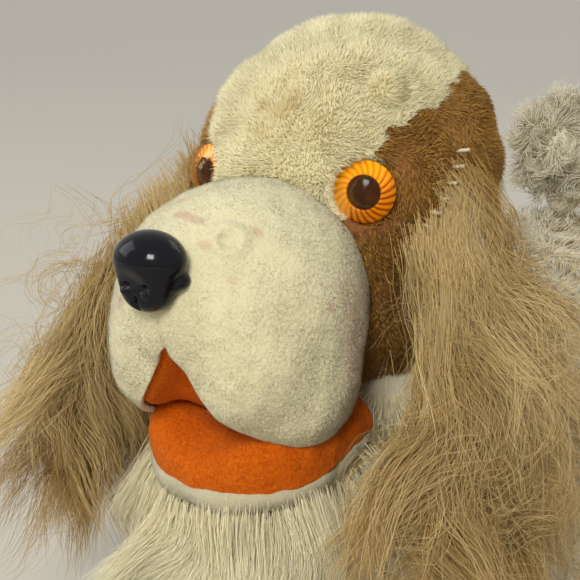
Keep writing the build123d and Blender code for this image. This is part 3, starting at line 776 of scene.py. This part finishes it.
for hand, side in HANDS.items():
    look = disc_axis(f"eye_iris_{hand}")
    across = unit(np.cross(look, (0, 0, 1.0)))
    over = np.cross(across, look)
    seat = middle(f"eye_pupil_{hand}") - look * PUPIL_STANDS
    turn = circle(FLUTES * 12)
    rings = []
    for radius, lift in ((IRIS_OUT, 0.0), (IRIS_OUT, 0.5), (8.4, 0.85), (7.8, 1.2), (7.1, 1.5), (6.4, 1.85),
                         (5.7, 2.15), (5.0, 2.5), (IRIS_IN, 1.7), (0.5, 1.65)):
        ridge = 0.34 * np.abs(np.sin(FLUTES / 2 * (turn + 0.09 * (radius - IRIS_IN)))) ** 0.7 - 0.2
        height = lift + ridge * (5.2 < radius < 8.7)
        rings.append(seat + radius * (np.cos(turn)[:, None] * across + np.sin(turn)[:, None] * over)
                     + np.broadcast_to(height, turn.shape)[:, None] * look)

    def shade(p):
        """Painted shade on the amber: darker low down and towards the temple, and in each flute's valley."""
        c = p - seat
        spin = np.arctan2(c @ over, c @ across)
        valley = 1 - np.abs(np.sin(FLUTES / 2 * (spin + 0.09 * (norm(c) - IRIS_IN)))) ** 0.35
        low = ease(-(c @ over) * 0.8 - side * (c @ across) * 0.8, -2.5, 6.0)
        return np.clip(0.55 * low + 1.2 * valley, 0, 1)

    # the flutes carry their painted shade in the wear_and_shade attribute
    piece(f"eye_flutes_{hand}", loft(rings, True), amber, "head", (f"eye_iris_{hand}",),
          wear_and_shade=shade)
    repaint(f"eye_pupil_{hand}", bead.material)
    repaint(f"eye_lens_{hand}", dome)

# ---- lower jaw
DROP, JAW_HALF, JAW_STRAIGHT, TONGUE_FRONT = math.radians(15), 30.2, 20.5, 26.0
JAW_AXES = np.array(((1, 0, 0), (0, -math.cos(DROP), -math.sin(DROP)), (0, -math.sin(DROP), math.cos(DROP))))


def jaw_local(p):
    """Sideways, forward from the hinge and up from the lower palate."""
    return (p - HINGE) @ JAW_AXES.T


def plan(c, half, front):
    """1 on the jaw's rounded outline, less inside it."""
    return np.hypot(c[..., 0] / half, np.maximum(c[..., 1] - JAW_STRAIGHT, 0) / front)


def jaw_field(p):
    c = jaw_local(p)
    outline = plan(c, JAW_HALF, 28.0)
    side = (outline - 1) * 27 + 0.035 * np.clip(-c[..., 2] - 5, 0, 20) ** 2
    top = c[..., 2] + 1.2
    base = -c[..., 2] - 19 + 0.17 * np.clip(c[..., 1], 0, 50)
    shape = carve(carve(side, top, 5.5), base, 8)
    return carve(shape, -c[..., 1] - 1.0, 3) + 0.35 * ripple(p, 15, 71)


def tongue_field(p):
    """The stuffed lower felt: full, and tucked down at its sewn edge."""
    c = jaw_local(p)
    outline = plan(c, JAW_HALF, TONGUE_FRONT) + 0.008 * ripple(p, 9.0, 72) + 0.004 * ripple(p, 4.0, 73)
    crest = np.minimum(8.6, 0.27 * np.clip(c[..., 1], 0, 50)) + FOLD_RISE * np.clip(np.abs(c[..., 0]), 0, 19) ** 2
    top = crest * (1 - np.clip(outline, 0, 1) ** 5) ** 0.5 - 0.6
    shape = carve((outline - 1) * 26, c[..., 2] - top, 1.0)
    return carve(carve(shape, -c[..., 2] - 4, 1), -c[..., 1] - 0.5, 1)


jaw_shape = cast(jaw_field, HINGE + np.array((0, 22, -9)) @ JAW_AXES, 60, 6)
piece("jaw_skin", jaw_shape, rim, "jaw",
      ("jaw_cover", "lower_lip", "thumb_pocket", "lower_mouth_board"))
tongue_shape = cast(tongue_field, HINGE + np.array((0, 22, 0)) @ JAW_AXES, 60, 7)
piece("lower_felt", tongue_shape, felt, "jaw", ("lower_palate",))


def lip_place(p):
    c = jaw_local(p)
    edge = (c[:, 2] > -11) * (plan(c, JAW_HALF, TONGUE_FRONT) > 0.97)
    return edge * (c[:, 1] > 2) * ((c[:, 2] < -4.5) | (c[:, 1] > 30))


lip_pile = pile("lip_pile", (0.66, 0.61, 0.46), (0.46, 0.42, 0.30), (0.50, 0.45, 0.32), WORN, patch=80)
pile_on("lip_fur", jaw_shape, 20000, 1.3, (0, 0, -0.3), lip_pile, "jaw", 51, radius=0.12,
        density=lip_place)


def beard_place(p):
    c = jaw_local(p)
    return ease(-c[:, 2], 6.5, 9.5) * (c[:, 1] > 4) * (0.3 + (c[:, 1] > 26))


def tones(count, seed, level=0.55):
    return np.clip(default_rng(seed).normal(level, 0.2, count), 0, 1)


def fewer(count):
    return int(count * 1 ** 0.5)


roots, normals = scatter(jaw_shape, fewer(330), 52, beard_place)
beard_heading = normals * (0.62, 0.6, 0.25) + np.array((-0.08, -0.05, -0.6))
beard_length = (40 + 20 * rng.random(len(roots))) * (1 - 0.3 * np.clip(np.abs(roots[:, 0]) / 29, 0, 1) ** 2)
guides = grow(roots, beard_heading, beard_length, 10, fall=0.30, curl=0.24, curl_size=30, seed=53,
              keep_off=jaw_field, clear=1.0)
beard = locks(guides, fewer(30), 2.2, 0.5, 0.22, 54)
strands("beard", beard, 0.075, white_hair, "jaw", tones(len(beard), 55))
core = cast(lambda p: egg(p, at(0, -104, 66), (19, 13, 20)), at(0, -104, 66), 40, 5)
piece("beard_core", core, body_skin, "jaw", ("chin_beard",))
pile_on("beard_under", core, 2400, 20, (0, -0.25, -1.6), white_hair, "jaw", 56, radius=0.14, rows=6,
        curl=0.3, curl_size=20, fall=0.3, density=lambda p: 1.0 * (p[:, 2] < 70))

# ---- ears
EAR_ROWS, EAR_COLUMNS = 26, 17
EAR_REACH, EAR_SOFT = 95.0, 17.0     # how far out the hair may stand, and over how much it bends back
STITCHES, STITCH_OUT = 8, 48.4       # their number, and how far they are from the skull's middle
EYE_FREE, STITCH_FREE = 13.5, 3.6    # no ear hair comes nearer to these


def trimmed(hair):
    """Left ear hair held to the ear's width, without the strands that cross an eye or hide the stitches."""
    over = np.clip(hair[..., 0] - EAR_REACH + EAR_SOFT, 0, None)
    hair = hair.copy()
    hair[..., 0] += EAR_SOFT * np.tanh(over / EAR_SOFT) - over
    eye = middle("eye_lens_left") + (0, -4, 0)
    keep = norm(hair - eye).min(1) > EYE_FREE
    for along in np.linspace(0, 1, STITCHES):
        spot = at(44, -57 - 19 * along, 176 - 28 * along)
        spot = SKULL + unit(spot - SKULL) * 51 + (0, -1.5, 0)
        keep &= norm(hair[:, 2:] - spot).min(1) > STITCH_FREE
    return hair[keep]


def ear_flap(side):
    """A limp leaf of cloth, sewn to the cheek along a slanting line and hanging clear of it."""
    pivot = joint_at[f"ear_{'left' if side > 0 else 'right'}_lift"] * (side, 1, 1)
    v, w = np.meshgrid(np.linspace(0, 1, EAR_ROWS), np.linspace(-1, 1, EAR_COLUMNS), indexing="ij")
    root = pivot + xyz(-5.0 + w, 7.5 - 9.5 * w, -19 - 11 * w)
    late = np.where(w > 0, ease(v, 0.12, 0.6), 1.0)
    half = 10 + (20 + 10 * w) * np.sin(np.clip(v * 1.15, 0, 1) * math.pi / 2) * late * (1 - 0.45 * ease(v, 0.75, 1.0))
    hang = pivot + xyz(3 + 15 * v + 5 * np.sin(v * math.pi) - 4 * w * w, -w * half - 4 * v, -6 - 104 * v)
    blend = ease(v, 0.0, 0.42)[..., None]
    sheet = root * (1 - blend) + hang * blend
    sheet[..., 0] += 0.8 * ripple(sheet, 30, 81)
    sheet[..., 0] *= side
    return sheet


for hand, side in HANDS.items():
    body = f"ear_{hand}"
    sheet = ear_flap(side)
    lift = unit(np.cross(np.gradient(sheet, axis=0), np.gradient(sheet, axis=1))) * 1.4
    lift *= np.sign(lift[EAR_ROWS // 2, EAR_COLUMNS // 2, 0]) * side
    swell = np.sqrt(np.clip(1 - np.linspace(-1, 1, EAR_COLUMNS) ** 2, 0.02, 1))[:, None]
    ring = np.concatenate([sheet + lift * swell, (sheet - lift * swell)[:, ::-1]], 1)
    flap = loft(ring if side > 0 else ring[:, ::-1], True)
    piece(f"ear_flap_{hand}", flap, ear_cloth, body, (f"ear_fur_{hand}", f"ear_lining_{hand}"))

    local = default_rng(90)
    number = fewer(320)
    rows = 0.04 + 0.96 * local.random(number)
    columns = np.where(local.random(number) < 0.3, local.uniform(0.6, 1, number), local.uniform(-1, 1, number))
    i = (rows * (EAR_ROWS - 1)).astype(int)
    j = ((columns + 1) / 2 * (EAR_COLUMNS - 1)).astype(int)
    roots = sheet[i, j] + local.normal(size=(number, 3)) * 1.2
    outward = lift[i, j] / 1.4
    ahead = ease(rows, 0.2, 0.5)
    aside = -columns * (0.5 + 0.4 * rows) * np.where(columns > 0, ahead, 1) + 0.35 * (1 - rows) ** 2
    spread = xyz(0.30 * (1 - rows), aside, -0.95 + 0.15 * rows)
    heading = outward * (0.08 + 0.5 * rows)[:, None] + spread + local.normal(size=(number, 3)) * 0.14
    length = 54 - 14 * rows + 18 * local.random(number)
    mirror = np.array((side, 1, 1))
    off_head = dict(keep_off=lambda p: melt(head_field(p), muzzle_field(p), 4), clear=2.5)
    guides = grow(roots * mirror, unit(heading * mirror), length, 10, fall=0.15, curl=0.34, curl_size=24, seed=91,
                  **off_head) * mirror
    hair = trimmed(locks(guides, fewer(25), 3.6, 0.4, 0.55, 92) * mirror) * mirror
    low_place = ease(-hair[:, 0, 2], -HINGE[2] - 40, -HINGE[2] + 20)
    rear = hair[:, 0, 1] - joint_at["ear_left_lift"][1]
    tan = np.clip(0.12 + 0.6 * low_place + 0.45 * ease(rear, -6, 20) + 0.4 * ripple(hair[:, 0], 40, 93), 0, 0.9)
    strands(f"ear_hair_{hand}", hair, 0.085, ear_hair, body, tones(len(hair), 94, 0.6), wear_and_shade=tan)
    loose = local.choice(np.flatnonzero(rows > 0.3), fewer(90))
    wisps = grow((roots + outward * 3)[loose] * mirror,
                 unit((heading + outward * 0.3 + local.normal(size=heading.shape) * 0.3)[loose] * mirror),
                 length[loose] + 8, 14, fall=0.09, curl=0.62, curl_size=15, seed=98, stray=0.05, **off_head) * mirror
    wisps = trimmed(locks(wisps, fewer(9), 3.0, 0.3, 0.5, 99) * mirror) * mirror
    strands(f"ear_wisps_{hand}", wisps, 0.07, ear_hair, body, tones(len(wisps), 100, 0.7),
            wear_and_shade=np.full(len(wisps), 0.4))
    inner = grow((sheet[i, j] - outward * 1.5)[::3] * mirror,
                 unit((-outward * 0.5 + spread + (0, 0, -0.3))[::3] * mirror), length[::3] * 0.8, 8, fall=0.2,
                 curl=0.2, curl_size=30, seed=95, **off_head) * mirror
    inner = locks(inner, fewer(18), 3.2, 0.45, 0.4, 96)
    strands(f"ear_inner_{hand}", inner, 0.10, ear_hair, body, tones(len(inner), 97, 0.45),
            wear_and_shade=np.full(len(inner), 0.45))

    loops = []
    for along in np.linspace(0.02, 1, STITCHES):
        root = at(side * 44, -56 - 19 * along, 176 - 29 * along)
        out = unit(root - SKULL)
        skin_at = SKULL + out * STITCH_OUT
        cross = unit(np.cross(out, unit(at(side * 46, -76, 148) - at(side * 44, -57, 176))))
        lean = unit(cross + np.array((0, 0, 0.5)))
        arc = [skin_at + lean * s * 1.6 + out * (2.6 - 2.6 * s * s) for s in np.linspace(-1, 1, 9)]
        loops.append(tube(arc, 0.5, 7))
    piece(f"ear_thread_{hand}", join(*loops), thread, "head", (f"ear_stitches_{hand}",))

# ---- neck
TILT = math.radians(30)
NECK_AXES = np.array(((1, 0, 0), (0, math.sin(TILT), math.cos(TILT)), (0, -math.cos(TILT), math.sin(TILT))))


def neck_band(inner, outer, back, front):
    """A band cut from a hollow ball about the neck's joints, so it turns inside its neighbour."""
    turn = circle(96)
    path = [(back + 1, inner), (back, (inner + outer) / 2), (back + 1, outer)]
    path += [(z, outer) for z in np.linspace(back + 4, front - 4, 6)]
    path += [(front - 1, outer), (front, (inner + outer) / 2), (front - 1, inner)]
    path += [(z, inner) for z in np.linspace(front - 4, back + 4, 6)]
    rings = []
    for z, ball in path:
        across = math.sqrt(ball * ball - z * z)
        local = xyz(across * np.cos(turn), across * np.sin(turn), z)
        rings.append(NECK + local @ NECK_AXES)
    rings.append(rings[0])
    return loft(rings)


ruff = neck_band(41.6, 43.6, -21, 38)
piece("neck_fur_band", ruff, body_skin, "neck_outer", ("neck_ruff",))
piece("neck_lining", neck_band(38.6, 40.6, -17.5, 34), body_skin, "neck_inner", ("neck_tube",))


def ruff_outside(p):
    return (norm(p - NECK) > 43.0) & ((p - NECK) @ NECK_AXES[2] < 29)


pile_on("neck_fur", ruff, 6000, 15, lambda p, n: xyz(0.2 * np.sign(p[:, 0]), 0.4, -0.7), body_pile,
        "neck_outer", 61, radius=0.2, rows=5, curl=0.5, curl_size=14, fall=0.1,
        density=ruff_outside)

# ---- throat
throat = cast(lambda p: carve(egg(p, at(0, -42, 98), (33, 25, 17)), neck_gap(p), 2), at(0, -47, 100), 50, 5)
piece("throat_skin", throat, body_skin, "head", ("throat_panel",))
pile_on("throat_fur", throat, 2400, 14, (0, -0.3, -1.2), white_hair, "head", 62, radius=0.15, rows=6,
        curl=0.3, curl_size=18, fall=0.2, density=lambda p: p[:, 2] < HINGE[2] + 2)

# ---- body
body_low = np.minimum(*(extent(f"body_side_{hand}")[0] for hand in HANDS))
body_high = np.maximum(*(extent(f"body_side_{hand}")[1] for hand in HANDS))
BODY_MIDDLE = (body_low + body_high) / 2
HALF_X, HALF_Z = (body_high - body_low)[[0, 2]] / 2
FUR, NECK_HOLE = 4.0, 45.2       # depth left for the fur, and the radius of the coat's opening


def oval(turn, half_x, half_z, square):
    c, s = np.cos(turn), np.sin(turn)
    return (half_x * np.sign(c) * np.abs(c) ** (2 / square), half_z * np.sign(s) * np.abs(s) ** (2 / square))


def chest_slope(z):
    """Where the body starts: a slope that faces the tilted neck."""
    return NECK[1] + 5.2 + (z - NECK[2] + 3) * math.tan(TILT)


turn = circle(128)
inner_x, inner_z = oval(turn, 41.5, 37.5, 3.2)
sleeve_middle = middle("body_lining")[2]
rings = [xyz(inner_x, body_high[1] - 4.0, inner_z + sleeve_middle)]
stations = [(s, 0.0) for s in np.linspace(1, 0, 30)] + [(0, q) for q in (0.25, 0.5, 0.75, 1.0)]
for s, close in stations:
    swell = 1 - 0.04 * ease(s, 0.85, 1) - 0.05 * ease(-s, -0.12, 0)
    x, z = oval(turn, (HALF_X - FUR) * swell, (HALF_Z - FUR / 2) * swell, 3.0)
    z = z + BODY_MIDDLE[2] + FUR / 2 - 1
    front_y = chest_slope(z)
    ring = xyz(x, front_y + s * (body_high[1] - 2 - front_y), z)
    if close:
        out = unit((ring - NECK) @ NECK_AXES.T * (1, 1, 0)) @ NECK_AXES
        ring = ring * (1 - close) + (NECK + out * NECK_HOLE) * close
    rings.append(ring)
rings.insert(1, 0.55 * rings[0] + 0.45 * rings[1] + (0, 1.6, 0))
rings = np.array(rings)
rings += 0.9 * ripple(rings, 40, 101)[..., None] * unit(rings - BODY_MIDDLE) * (1, 0, 1)
coat = loft(rings)
piece("body_coat", coat, body_skin, "body", ("body_side_left", "body_side_right", "chest_ruff"),
      thick=1.6)

_, lining_high, lining_middle, lining_half = extent("body_lining")
rings = []
for s in np.linspace(0, 1, 12):
    x, z = oval(turn, lining_half[0] - 1 + 0.5 * math.sin(s * 9), lining_half[2] - 1, 3.2)
    z = z + lining_middle[2]
    front_y = chest_slope(z) + 2
    rings.append(xyz(x, front_y + s * (lining_high[1] - 1 - front_y), z))
lining = loft(rings[::-1])
piece("sleeve_lining", lining, cloth, "body", ("body_lining",), thick=-1.0)

_, hem_high, hem_middle, hem_half = extent("hem_band")
rings = []
for angle in circle(20):
    x, z = oval(turn, hem_half[0] - 2.4 + 2.2 * math.cos(angle), hem_half[2] - 2.4 + 2.2 * math.cos(angle), 3.2)
    gathers = 0.35 * np.sin(60 * turn) * max(0, math.sin(angle))
    rings.append(xyz(x, hem_middle[1] + (hem_half[1] - 0.3) * math.sin(angle) + gathers, z + hem_middle[2]))
rings.append(rings[0])
piece("hem_binding", loft(rings), cloth, "body", ("hem_band",))
x, z = oval(turn, hem_half[0] - 2.4, hem_half[2] - 2.4, 3.2)
seam_line = xyz(x, hem_high[1] - 0.2, z + hem_middle[2])
loops = [tube([seam_line[i], (seam_line[i] + seam_line[i + 1]) / 2 + (0, 0.5, 0), seam_line[i + 1]], 0.3, 6)
         for i in range(0, len(seam_line) - 1, 2)]
piece("hem_thread", join(*loops), thread, "body")


def coat_comb(p, n):
    return xyz(0.2 * np.sign(p[:, 0]), 0.7, np.where(np.abs(n[:, 2]) > 0.8, 0.0, -0.6))


pile_on("body_fur", coat, 27000, 10, coat_comb, body_pile, "body", 102, radius=0.27, rows=4,
        curl=0.75, curl_size=14, density=lambda p: (p[:, 2] > body_low[2] + 6) * 1.0)

belly_low, _, belly_middle, belly_half = extent("belly_panel")
rings = []
for height, inset in ((0.0, 5.0), (0.0, 2.8), (1.2, 1.5), (5.0, 1.0), (9.0, 1.5), (9.6, 5.0)):
    x, y = oval(turn, belly_half[0] - inset, belly_half[1] - inset, 4.0)
    rings.append(xyz(x + belly_middle[0], y + belly_middle[1], belly_low[2] + height))
piece("belly_cloth", loft(rings, True), body_skin, "body", ("belly_panel",))

# ---- legs and tail
for leg in ("foreleg", "hind_leg"):
    for hand, side in HANDS.items():
        _, high, leg_middle, _ = extent(f"{leg}_cover_{hand}")
        x, back, height = leg_middle[0], high[1] - 14, high[2]

        def leg_field(p):
            upright = capsule(p, (x, back, height - 14), (x, back, 15), 11.2, 10.4)
            paw = capsule(p, (x, back - 2, 11.4), (x, back - 22, 10.6), 10.2, 9.8)
            toes = np.abs((p[..., 0] - x) / 3.4)
            groove = np.exp(-((toes - 1) / 0.28) ** 2) * ease(-p[..., 1], 24 - back, 32 - back)
            return melt(upright, paw, 6) + 0.3 * ripple(p, 14, 111) + 0.8 * groove

        limb = cast(leg_field, np.array((x, back - 4, 16)), 60, 5)
        body = f"{leg}_{hand}"
        piece(f"{leg}_skin_{hand}", limb, body_skin, body,
              (f"{leg}_cover_{hand}", f"{leg}_stuffing_{hand}"))
        pile_on(f"{leg}_fur_{hand}", limb, 3600, 6.0, (0.1 * side, -0.2, -0.7), body_pile, body,
                112, radius=0.22, rows=4, curl=0.7, curl_size=11, density=lambda p: 1.0 * (p[:, 2] > 5))

tail_top = extent("tail_cover")[1][2] - 24


def tail_field(p):
    stem = capsule(p, TAIL, (0, TAIL[1], tail_top - 4), 7.5, 12)
    return melt(stem, egg(p, (0, TAIL[1], tail_top), (18.5, 18.5, 17.5)), 8) + 0.8 * ripple(p, 20, 121)


tail_shape = cast(tail_field, TAIL + (0, 0, 12), 60, 5)
piece("tail_skin", tail_shape, body_skin, "tail", ("tail_cover", "tail_stuffing"))
pile_on("tail_fur", tail_shape, 6500, 12, (0, 0.2, 0.3), body_pile, "tail", 122, radius=0.19, rows=5,
        curl=0.7, curl_size=11, density=lambda p: 1.0 * (p[:, 2] > TAIL[2] + 3))

# ---- camera, lights, floor
camera_data = bpy.data.cameras.new("camera")
camera_data.sensor_width = 36
camera_data.lens = 77.4
camera_data.clip_start = 0.01
camera = bpy.data.objects.new("camera", camera_data)
camera.location = (0.205, -0.3701, 0.2285)
camera.rotation_euler = (math.radians(75), 0, math.radians(35))
show(camera)
bpy.context.scene.camera = camera


def lamp(name, place, target, size, power, colour):
    data = bpy.data.lights.new(name, "AREA")
    data.shape, data.size, data.energy, data.color = "SQUARE", size, power, colour
    obj = bpy.data.objects.new(name, data)
    obj.location = place
    aim = np.array(target) - np.array(place)
    obj.rotation_euler = (math.atan2(math.hypot(aim[0], aim[1]), -aim[2]), 0,
                          math.atan2(aim[1], aim[0]) - math.pi / 2)
    show(obj)


lamp("key", (0.42, -1.15, 0.95), (0, -0.06, 0.13), 0.4, 15, (1.0, 0.985, 0.94))
lamp("fill", (-1.2, -0.6, 0.9), (0, -0.05, 0.12), 0.9, 5, (1.0, 0.98, 0.95))
lamp("back", (0.3, 1.1, 1.0), (0, 0.05, 0.12), 0.8, 2.5, (1.0, 0.98, 0.96))

world = bpy.data.worlds.new("studio")
bpy.context.scene.world = world
world.use_nodes = True
world.node_tree.nodes["Background"].inputs["Color"].default_value = (0.97, 0.96, 0.93, 1)
world.node_tree.nodes["Background"].inputs["Strength"].default_value = 0.62

FLOOR_X = (-12, -1.5, -0.8, -0.4, 0, 0.4, 0.8, 1.5, 12)
FLOOR_Y = (-12, -1, -0.4, 0, 0.4, 0.8, 1.4, 2.4, 4, 7, 12)
floor_points = xyz(*np.meshgrid(FLOOR_X, FLOOR_Y, indexing="ij"), 0.0).reshape(-1, 3)
row = len(FLOOR_Y)
cell = (np.arange(len(FLOOR_X) - 1)[:, None] * row + np.arange(row - 1)).ravel()
floor_mesh = bpy.data.meshes.new("floor")
floor_mesh.from_pydata(floor_points.tolist(), [], np.stack([cell, cell + row, cell + row + 1, cell + 1], -1).tolist())
# painted light: the floor is darker near the puppet, where the lamps light it most, and lighter further off, where
# they light it least
put(floor_mesh, "painted_floor_light", ease(norm(floor_points - (0.2, -0.4, 0)), 0.3, 3.2))
floor = bpy.data.objects.new("floor", floor_mesh)
floor_paint = Paint("floor_paper", Roughness=0.9, Specular_IOR_Level=0.1)
floor_paint.colour(floor_paint.mix(floor_paint.attribute("painted_floor_light"), (0.55, 0.52, 0.455), (0.74, 0.70, 0.63)))
floor_mesh.materials.append(floor_paint.material)
show(floor)
bpy.context.scene.view_settings.view_transform = "Standard"
